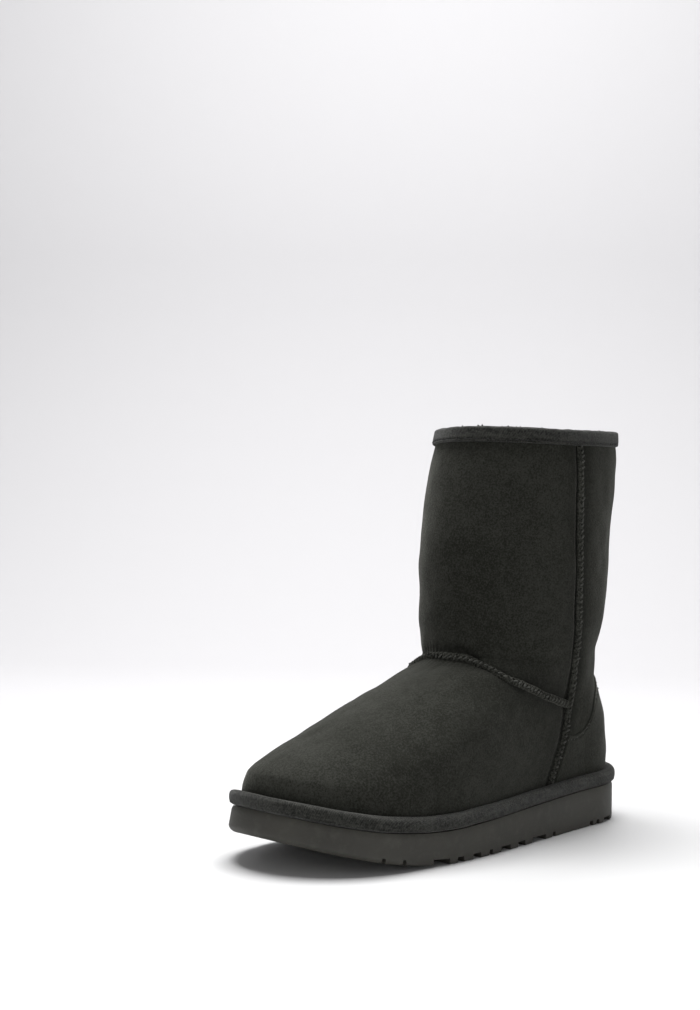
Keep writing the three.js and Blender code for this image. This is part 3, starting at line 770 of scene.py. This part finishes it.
def baked(name, source, tree, values):
    """The plain mesh that a tree makes from a mesh, with the tree's inputs set by name."""
    holder = placed(name, source)
    modifier = holder.modifiers.new("made", "NODES")
    modifier.node_group = tree
    for item in tree.interface.items_tree:
        if item.in_out == "INPUT" and item.name in values:
            modifier[item.identifier] = values[item.name]
    seen = holder.evaluated_get(bpy.context.evaluated_depsgraph_get())
    mesh = bpy.data.meshes.new_from_object(seen)
    mesh.name = name
    bpy.data.objects.remove(holder)
    return mesh


stitches = stitch_tree()


def stitch_row(name, points, along, thickness=1.2, length=3.2, finish=thread.material):
    """A piece of stitches on points, along directions, a little uneven."""
    spots = bpy.data.meshes.new(name + "_spots")
    rng = np.random.default_rng(len(points))
    points = points + rng.normal(0, STITCH_WANDER, points.shape)
    along = unit(along) + rng.normal(0, STITCH_TURN, points.shape)
    spots.from_pydata(((points + PLAN_SHIFT) / 1000).tolist(), [], [])
    mark(spots, "along", unit(along), "FLOAT_VECTOR")
    values = {"Thickness": thickness / 1000, "Length": length / 1000, "Thread": finish}
    mesh = baked(name, spots, stitches, values)
    piece(name, mesh, finish, "tape")


def spaced(path, step):
    """Rows of a path a step apart, as places in its index."""
    run = lengths_along(path)
    return np.interp(np.arange(step / 2, run[-1], step), run, np.arange(len(run)))


def taken(values, places):
    """Values between a path's rows."""
    low = np.clip(places.astype(int), 0, len(values) - 2)
    share = (places - low)[:, None]
    return values[low] * (1 - share) + values[low + 1] * share


WELT_TOP = WELT_HEIGHT / FOOT_RISE
for name, c_sign in (("side_seam_outer", 1.0), ("side_seam_inner", -1.0)):
    low_r = WELT_TOP / float(instep_seam_level(1.0)) - 0.02
    high_r = 2 - (BINDING_HEIGHT - 1) / float(per_rise(c_sign, 1.99))
    r = np.linspace(low_r, high_r, 560)
    path, normal, side = seam_ridge(name, np.full_like(r, c_sign), r, seam_suede, c_sign)
    places = spaced(path, STITCH_STEP)
    spots = taken(path, places) + taken(normal, places) * STITCH_RISE + taken(side, places) * 0.6 * c_sign
    stitch_row("stitches_" + name, spots, taken(way(path), places) + 1.1 * taken(side, places))
c = np.linspace(-0.985, 0.985, 620)
path, normal, side = seam_ridge("instep_seam", c, np.ones_like(c), seam_suede)
places = spaced(path, INSTEP_STITCH_STEP)
spots = taken(path, places) + taken(normal, places) * STITCH_RISE + taken(side, places) * 0.1
stitch_row("stitches_instep_seam", spots, taken(way(path), places) - 1.0 * taken(side, places))

# Wool lining
# The sheepskin's own wool, left on the hide and standing inward as short dense curls. It closes over the
# collar's edge in places, and fades into shadow down the shaft.
PILE = 6.5
WOOL_START = HIDE + 2.1


def curl_tree():
    """Geometry nodes that grow small curls out of a surface, more where its pile attribute is high."""
    nodes, given = new_tree(
        "curls",
        ("Density", "Float"),
        ("Curl height", "Float"),
        ("Curl radius", "Float"),
        ("Seed", "Int"),
        ("Wool", "Material"),
    )
    pile = nodes.add("GeometryNodeInputNamedAttribute", {"data_type": "FLOAT"}, {"Name": "pile"})
    scatter = nodes.add(
        "GeometryNodeDistributePointsOnFaces",
        {"distribute_method": "RANDOM"},
        {"Mesh": given[0], "Density": given[1] * pile, "Seed": given[4]},
    )
    turned = Value(nodes, scatter.socket.node.outputs["Rotation"])
    spiral = nodes.add(
        "GeometryNodeCurveSpiral",
        None,
        {
            "Resolution": 6,
            "Rotations": 1.15,
            "Start Radius": given[3],
            "End Radius": given[3] * 0.35,
            "Height": given[2],
        },
    )
    share = nodes.add("GeometryNodeSplineParameter")
    taper = 1 - share * 0.55
    tapered = nodes.add("GeometryNodeSetCurveRadius", None, {"Curve": spiral, "Radius": taper})
    ring = nodes.add("GeometryNodeCurvePrimitiveCircle", None, {"Resolution": 5, "Radius": given[3] * 0.62})
    curl = nodes.add(
        "GeometryNodeCurveToMesh", None, {"Curve": tapered, "Profile Curve": ring, "Fill Caps": True}
    )
    sizes = {2: 0.65, 3: 1.25, "Seed": given[4]}
    size = nodes.add("FunctionNodeRandomValue", {"data_type": "FLOAT"}, sizes, output=1)
    tilt = nodes.add(
        "FunctionNodeRandomValue",
        {"data_type": "FLOAT_VECTOR"},
        {0: (-0.6, -0.6, -math.pi), 1: (0.6, 0.6, math.pi), "Seed": given[4] + 1},
    )
    spun = nodes.add(
        "FunctionNodeRotateRotation", {"rotation_space": "LOCAL"}, {"Rotation": turned, "Rotate By": tilt}
    )
    return dressed_tree(nodes, {"Points": scatter, "Instance": curl, "Rotation": spun, "Scale": size}, given[5])


curls = curl_tree()


def curly(name, ground, pile, density, height, radius, seed):
    """Curls on a ground mesh, whose pile from 0 to 1 is given for each of its points."""
    mark(ground, "pile", pile)
    values = {
        "Density": float(density),
        "Curl height": height / 1000,
        "Curl radius": radius / 1000,
        "Seed": seed,
        "Wool": wool.material,
    }
    mesh = baked(name, ground, curls, values)
    return piece(name, mesh, wool.material, "fleece")


lining_columns = np.linspace(-2, 2, 301)[:-1]
lining_rows = np.linspace(0.16, 1.995, 150)
c_wool, r_wool = np.meshgrid(lining_columns, lining_rows)
ground = panel_point(c_wool, r_wool)
ground_normal = panel_normal(c_wool, r_wool)
crowd = 0.8 * soft_waves(ground, 9, 21) + 0.8 * soft_waves(ground, 4.5, 22)
thin_at_rim = 1 - 0.35 * smooth((r_wool - 1.96) / 0.035)
tips = ground - ground_normal * (WOOL_START + PILE * thin_at_rim + crowd)[..., None]
roots = ground - ground_normal * WOOL_START
crown = (ground[-1:] - ground_normal[-1:] * (WOOL_START + PILE * 0.35)) + np.array([0, 0, 1.6])
lining_grid = np.concatenate([roots[::4], roots[-1:], crown, tips[::-1]])
piece("wool_lining", shell("wool_lining", lining_grid), wool.material, "fleece")

wall_mesh = shell("wool_ground", tips[:, ::-1], wrap_rows=False)
seen_depth = smooth((r_wool - 0.25) / 0.7) * (0.35 + 0.65 * smooth((r_wool - 1.2) / 0.6))
wall_pile = np.where(np.abs(c_wool) < 1, smooth((r_wool - 0.9) / 0.25), 1) * seen_depth
curly("wool_curls", wall_mesh, wall_pile[:, ::-1], 62000, 3.2, 1.15, 5)
rim_ground = shell("rim_ground", np.concatenate([roots[-1:], crown]), wrap_rows=False)
curly("wool_rim", rim_ground, np.ones((2, len(lining_columns))), 600000, 1.75, 0.62, 9)
sole_wool = shell("sole_wool_ground", np.stack(pad_rings[3:]), wrap_rows=False)
pad_x = np.stack(pad_rings[3:])[..., 0]
curly("insole_curls", sole_wool, smooth((30 - pad_x) / 60), 60000, 4.0, 1.25, 12)

# Heel patch
# A second layer of suede sewn round the back of the heel. Its upper edge dips to each side seam, and a
# row of small stitches runs just inside it.
COUNTER_THICKNESS = 1.3
PATCH_FACE = 0.75 * COUNTER_THICKNESS  # how far its face stands out of the upper's
PATCH_STITCHES = 2.6  # from its edge in to its stitches
# place in side view as a share of the sole's length, height as a share of the instep's
PATCH_EDGE = [
    (-0.42, 0.88),
    (-0.385, 0.862),
    (-0.352, 0.815),
    (-0.331, 0.745),
    (-0.321, 0.665),
    (-0.309, 0.6),
    (-0.292, 0.558),
    (-0.262, 0.54),
]
patch_edge_height = curve_through(PATCH_EDGE, 1)


def patch_top(c):
    """The r at which the patch ends, for each way round c."""
    r = np.linspace(0.1, 1.35, 700)
    cc, rr = np.meshgrid(c, r)
    points = panel_point(cc, rr)
    above = points[..., 2] - INSTEP_HEIGHT * patch_edge_height(points[..., 0] / SOLE_LENGTH)
    first = np.argmax(above > 0, axis=0)
    return r[np.maximum(first, 1)]


gap_c = (SEAM_WIDTH / 2 + 0.6) / float(per_around(1.0, 0.7))
patch_c = np.concatenate([np.linspace(1 + gap_c, 2, 120), -np.linspace(2, 1 + gap_c, 120)[1:]])
patch_c_top = patch_top(patch_c)
kernel = np.ones(5) / 5
patch_c_top = np.convolve(np.pad(patch_c_top, 2, mode="edge"), kernel, mode="valid")
patch_low = (WELT_HEIGHT - 1.5) / FOOT_RISE / float(instep_seam_level(1.0))
patch_share = np.concatenate([np.linspace(0, 0.97, 60), [0.98, 0.987, 0.993, 0.997, 1.0]])
cc = np.broadcast_to(patch_c, (len(patch_share), len(patch_c)))
rr = patch_low + (patch_c_top - patch_low) * patch_share[:, None]
patch = panel_point(cc, rr)
patch_normal = panel_normal(cc, rr)
patch_rise = per_rise(patch_c, np.full_like(patch_c, 0.7))
to_top = (1 - patch_share)[:, None] * (patch_c_top - patch_low) * patch_rise
to_side = (np.abs(cc) - 1 - gap_c) * per_around(np.sign(cc), rr)
edge_round = np.sqrt(1 - (1 - np.clip(np.minimum(to_top, to_side) / 1.1, 0, 1)) ** 2)
sewn = -0.35 * np.exp(-(((np.minimum(to_top, to_side + 3) - PATCH_STITCHES) / 0.9) ** 2))
rise = 0.1 + (PATCH_FACE + sewn) * edge_round + 0.25 * soft_waves(patch, 22, 31)
inner_layer = patch - patch_normal * 1.2
outer_layer = patch + patch_normal * rise[..., None]
closed = np.concatenate([inner_layer[::-1], outer_layer])
left_end = np.concatenate([inner_layer[::-1, :1], inner_layer[:, :1]])
right_end = np.concatenate([inner_layer[::-1, -1:], inner_layer[:, -1:]])
patch_grid = np.concatenate([left_end, closed, right_end], 1)
patch_mesh = shell("heel_patch", patch_grid, wrap_columns=False, sharp=50)
piece("heel_patch", patch_mesh, suede, "suede", "heel_counter")
inset_r = patch_c_top - PATCH_STITCHES / patch_rise
patch_line = panel_point(patch_c, inset_r) + panel_normal(patch_c, inset_r) * (PATCH_FACE - 0.15)
places = spaced(patch_line, 3.4)
stitch_row("stitches_heel_patch", taken(patch_line, places), taken(way(patch_line), places), 0.55, 1.9)

# Welt
# A padded roll round the foot of the upper, on the outsole's edge. It is covered with ribbed woven tape
# whose hem shows as a thin raised line low on its outer side.
WELT_OVERHANG = 1.6
ROLL_CORE = 3.6  # from the foot of the upper out to the roll's straight part
ROLL_POWER = 2 / 2.7  # of the roll's rounding: 1 is an ellipse's
RIB = 0.0009  # metres from one rib of the tape to the next


def tape_finish(name, dark, light):
    """Slanting ribbed tape between two shades, with rubbed streaks along it."""
    tape = Finish(name, Roughness=0.8, Specular_IOR_Level=0.2, Sheen_Weight=0.12, Sheen_Roughness=0.35)
    split = tape.add("ShaderNodeSeparateXYZ", None, {"Vector": tape.map})
    across = Value(tape, split.socket.node.outputs["Y"])
    turns = (split + across * 0.45) * (2 * math.pi / RIB)
    ribs = tape.add("ShaderNodeMath", {"operation": "SINE"}, {0: turns}) * 0.5 + 0.5
    yarn = tape.noise(640, 3, 0.75)
    stretch = {0: tape.map, 1: (0.35, 2.2, 1)}
    lengthwise = tape.add("ShaderNodeVectorMath", {"operation": "MULTIPLY"}, stretch)
    worn = tape.ramp(tape.noise(150, 3, 0.6, lengthwise), (0.45, 0), (0.72, 1))
    lint = tape.ramp(tape.noise(1000, 2), (0.56, 0), (0.7, 1))
    shade = tape.blend(tape.ramp(ribs * 0.12 + yarn * 0.88, (0.43, 0), (0.59, 1)), dark, light)
    tape.set("Base Color", tape.blend(worn * 0.45 + lint * 0.5, shade, tuple(1.8 * v for v in light)))
    tape.set("Normal", tape.bump(ribs * 0.6 + yarn * 1.2, 0.00045, 0.9))
    return tape.material


tape = tape_finish("ribbed_tape", (0.005, 0.0052, 0.0042), (0.033, 0.0334, 0.0292))
welt_columns = np.linspace(-2, 2, 401)[:-1]
foot_c = panel_point(welt_columns, 0.0)
foot_out = panel_normal(welt_columns, 0.0)
reach = FEATHER_INSET + WELT_OVERHANG
seam_of_c = instep_seam_level(np.minimum(np.abs(welt_columns), 1))
turns = np.radians(np.linspace(-90, 90, 27))
profile = []
for turn in turns:
    out = ROLL_CORE + (reach - ROLL_CORE) * abs(math.cos(turn)) ** ROLL_POWER
    up = WELT_HEIGHT / 2 * (1 + math.copysign(abs(math.sin(turn)) ** ROLL_POWER, turn))
    hem = 0.35 * math.exp(-(((math.degrees(turn) + 38) / 7) ** 2))
    profile.append((out + hem, up - hem * 0.4))
welt_rows = []
for out, up in profile:
    ring = foot_c + foot_out * out
    ring[:, 2] = feather_line(ring[:, 0]) + up + 0.12 * soft_waves(ring, 26, 41)
    welt_rows.append(ring)
for up, gap in ((7.9, 0.6), (7.0, 0.3), (5.0, 0.3), (2.5, 0.3), (0.0, 0.3)):
    r = up / FOOT_RISE / seam_of_c
    ring = panel_point(welt_columns, r) + foot_out * gap
    welt_rows.append(ring)
welt_run = lengths_along(foot_c)
welt_run = np.append(welt_run, welt_run[-1] + np.linalg.norm(foot_c[0] - foot_c[-1]))
cross = [np.hypot(a[0] - b[0], a[1] - b[1]) for a, b in zip(profile[1:], profile)]
cross = np.concatenate([[0], np.cumsum(cross + [4.0, 1.5, 2.5, 2.5, 2.5, 3.0])])
welt_mesh = shell("welt_tape", np.stack(welt_rows), lengths=(cross, welt_run * 1.08))
welt_roll = piece("welt_tape", welt_mesh, tape, "tape", "welt")

# Collar binding
# A strip of woven tape folded over the upper's top edge and down both its faces. It is sewn through
# near its lower edge, where the thread pulls it into a groove.
BINDING_THICKNESS = 1.5
rim_c = np.linspace(-2, 2, 361)[:-1]
foot_r = 2 - BINDING_HEIGHT / per_rise(rim_c, np.full_like(rim_c, 1.999))
top_point, top_out = panel_point(rim_c, 2.0), panel_normal(rim_c, 2.0)
foot_point, foot_normal = panel_point(rim_c, foot_r), panel_normal(rim_c, foot_r)


def on_collar(share, out, up=0.0):
    """A ring on the collar, uneven along its top: share is 0 at the binding's foot and 1 at the hide's
    top edge."""
    ring = foot_point * (1 - share) + top_point * share
    ring = ring + unit(foot_normal * (1 - share) + top_out * share) * out
    ripple = 0.17 * soft_waves(ring, 7, 53) if share == 1 else 0
    ring[:, 2] += up + 0.1 * soft_waves(ring, 31, 52) + ripple
    return ring


near = CLEARANCE
far = CLEARANCE + BINDING_THICKNESS
binding_rows = [on_collar(0, near), on_collar(0, far - 0.9)]
binding_rows += [on_collar(0.03, far - 0.4), on_collar(0.06, far - 0.12)]
for share in (0.1, 0.17, 0.22, 0.27, 0.32, 0.4, 0.6, 0.8, 0.95):
    sunk = 0.5 * math.exp(-(((share - 0.22) / 0.05) ** 2))
    binding_rows.append(on_collar(share, far - sunk + 0.15 * math.sin(math.pi * share)))
half = HIDE / 2 + far
for turn in np.radians(np.linspace(12, 168, 11)):
    binding_rows.append(on_collar(1, -HIDE / 2 + half * math.cos(turn), far * math.sin(turn) ** 0.8 + 0.1))
for share in (0.9, 0.6, 0.3, 0.05):
    binding_rows.append(on_collar(share, -HIDE - far))
binding_rows += [on_collar(0, -HIDE - near), on_collar(0.6, -HIDE - near), on_collar(1, -HIDE - near, near)]
binding_rows += [on_collar(1, near, near), on_collar(0.5, near)]
rim_run = lengths_along(top_point)
rim_run = np.append(rim_run, rim_run[-1] + 1.0)
binding_grid = np.stack(binding_rows)
steps = np.linalg.norm(np.diff(binding_grid, axis=0), axis=2).mean(axis=1)
cross = np.concatenate([[0], np.cumsum(steps), [steps.sum() + 3]])
binding_mesh = shell("collar_tape", binding_grid, lengths=(cross, rim_run))
collar_tape = tape_finish("collar_tape", (0.0045, 0.0047, 0.0038), (0.03, 0.0304, 0.0265))
piece("collar_tape", binding_mesh, collar_tape, "tape", "collar_binding")
dark_thread = Finish("dark_thread", Roughness=0.75, Specular_IOR_Level=0.3)
dark_strands = dark_thread.noise(2600, 2)
dark_thread.set("Base Color", dark_thread.blend(dark_strands, (0.012, 0.012, 0.012), (0.035, 0.035, 0.034)))
sewing = on_collar(0.22, far - 0.3)
places = spaced(sewing, 3.3)
sewn_on = taken(sewing, places)
stitch_row("stitches_collar", sewn_on, taken(way(sewing), places), 0.6, 2.2, dark_thread.material)

# Studio
# A pale floor that turns up into a slightly darker wall some way behind. A large soft lamp above
# gives most of the light, and four weaker ones fill the front, the side, the wall and the toe.


def plain(name, shade, rough):
    """A material of one shade."""
    paper = bpy.data.materials.new(name)
    paper.use_nodes = True
    shader = paper.node_tree.nodes["Principled BSDF"]
    shader.inputs["Base Color"].default_value = (*shade, 1)
    shader.inputs["Roughness"].default_value = rough
    shader.inputs["Specular IOR Level"].default_value = 0.2
    return paper


EYE_BEARING = 41.65
EYE_TURN = math.radians(EYE_BEARING)
BEND_START = 0.9  # metres from the boot back to where the paper turns up
BEND_RADIUS = 0.6
WALL_SHADE_START = 0.335  # metres from the boot back to where the paper darkens
PAPER_HALF = 5.0
away = Vector((-math.cos(EYE_TURN), -math.sin(EYE_TURN), 0))
left = Vector((math.sin(EYE_TURN), -math.cos(EYE_TURN), 0))
floor_profile = [(-4.0, 0.0), (0.0, 0.0), (WALL_SHADE_START, 0.0), (BEND_START, 0.0)]
for turn in np.radians(np.linspace(0, 90, 13)[1:]):
    floor_profile.append((BEND_START + BEND_RADIUS * math.sin(turn), BEND_RADIUS * (1 - math.cos(turn))))
floor_profile.append((BEND_START + BEND_RADIUS, 4.0))
verts, faces = [], []
for back, up in floor_profile:
    for sideways in (-PAPER_HALF, PAPER_HALF):
        verts.append(away * back + left * sideways + Vector((0, 0, up)))
for i in range(len(floor_profile) - 1):
    faces.append((2 * i, 2 * i + 1, 2 * i + 3, 2 * i + 2))
paper_mesh = bpy.data.meshes.new("studio_paper")
paper_mesh.from_pydata([tuple(v) for v in verts], [], faces)
paper_mesh.shade_smooth()
studio_paper = placed("studio_paper", paper_mesh)
paper_mesh.materials.append(plain("floor_paper", (0.565, 0.565, 0.568), 0.6))
paper_mesh.materials.append(plain("wall_paper", (0.505, 0.5, 0.51), 0.8))
for face in paper_mesh.polygons:
    face.material_index = int(face.index > 1)
studio_paper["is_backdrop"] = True


def lamp(name, place, aim, size, power):
    """A soft rectangular lamp at a place, turned to its aim."""
    data = bpy.data.lights.new(name, "AREA")
    data.shape = "RECTANGLE"
    data.size, data.size_y = size
    data.energy = power
    made = placed(name, data)
    made.location = place
    made.rotation_euler = (aim - place).to_track_quat("-Z", "Y").to_euler()


upright = Vector((0, 0, 1))
ankle = upright * 0.1
ball = Vector((0.03, 0.02, 0.04))
lamp("top_lamp", ankle + away * 0.25 + left * 0.1 + upright * 1.7, ankle, (1.1, 1.1), 60)
lamp("front_lamp", ankle - away * 1.9 + left * 1.3 + upright * 1.1, ankle, (1.4, 1.4), 3.9)
lamp("side_lamp", ankle - away * 1.0 - left * 1.9 + upright * 0.8, ankle, (1.2, 1.4), 2.5)
lamp("wall_lamp", away * 0.5 + upright * 2.0, away * 1.5 + upright * 0.4, (1.6, 0.6), 10)
lamp("low_lamp", ball - away * 0.75 - left * 0.55 + upright * 0.12, ball, (0.4, 0.25), 0.4)
world = bpy.data.worlds.new("studio_air")
world.use_nodes = True
air = Nodes(world.node_tree)
sky_way = air.add("ShaderNodeTexCoord", output=0)
split = air.add("ShaderNodeSeparateXYZ", None, {"Vector": sky_way}, output=2)
height = air.add("ShaderNodeMath", {"operation": "ABSOLUTE"}, {0: split})
horizon_to_top = [(0.1, (0.72, 0.72, 0.72)), (0.4, (0.2, 0.2, 0.2))]
glow = air.add("ShaderNodeValToRGB", {"stops": horizon_to_top}, {"Fac": height})
world.node_tree.links.new(glow.socket, world.node_tree.nodes["Background"].inputs["Color"])
bpy.context.scene.world = world
bpy.context.scene.view_settings.view_transform = "Standard"

# Camera
# Nearly level, at three quarters of the boot's height, ahead of the toe and to the outer side. It
# leans a little to one side.
EYE_DISTANCE = 0.861
EYE_HEIGHT = 0.1786
LOOK_TURN = math.radians(EYE_BEARING + 180 + 3.82)
LOOK_UP = math.radians(0.73)
LEAN = math.radians(0.74)
SENSOR = 36.0
FOCAL_SHARE = 1494.6 / 1010  # focal length as a share of the picture's height
eye = Vector((math.cos(EYE_TURN) * EYE_DISTANCE, math.sin(EYE_TURN) * EYE_DISTANCE, EYE_HEIGHT))
eye += Vector(PLAN_SHIFT / 1000)
look = Vector(
    (math.cos(LOOK_TURN) * math.cos(LOOK_UP), math.sin(LOOK_TURN) * math.cos(LOOK_UP), math.sin(LOOK_UP))
)
flat_right = look.cross(upright).normalized()
flat_up = flat_right.cross(look)
right = flat_right * math.cos(LEAN) + flat_up * math.sin(LEAN)
upward = flat_up * math.cos(LEAN) - flat_right * math.sin(LEAN)
camera_data = bpy.data.cameras.new("camera")
camera_data.sensor_fit = "VERTICAL"
camera_data.sensor_height = SENSOR
camera_data.lens = SENSOR * FOCAL_SHARE
camera_data.clip_start = 0.01
camera = placed("camera", camera_data)
turned = Matrix((right, upward, -look)).transposed().to_4x4()
camera.matrix_world = Matrix.Translation(eye) @ turned
bpy.context.scene.camera = camera

visual_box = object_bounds()
boxes = {"cad": cad_box, "visual": visual_box}
boxes = {name: [list(map(float, corner)) for corner in box] for name, box in boxes.items()}
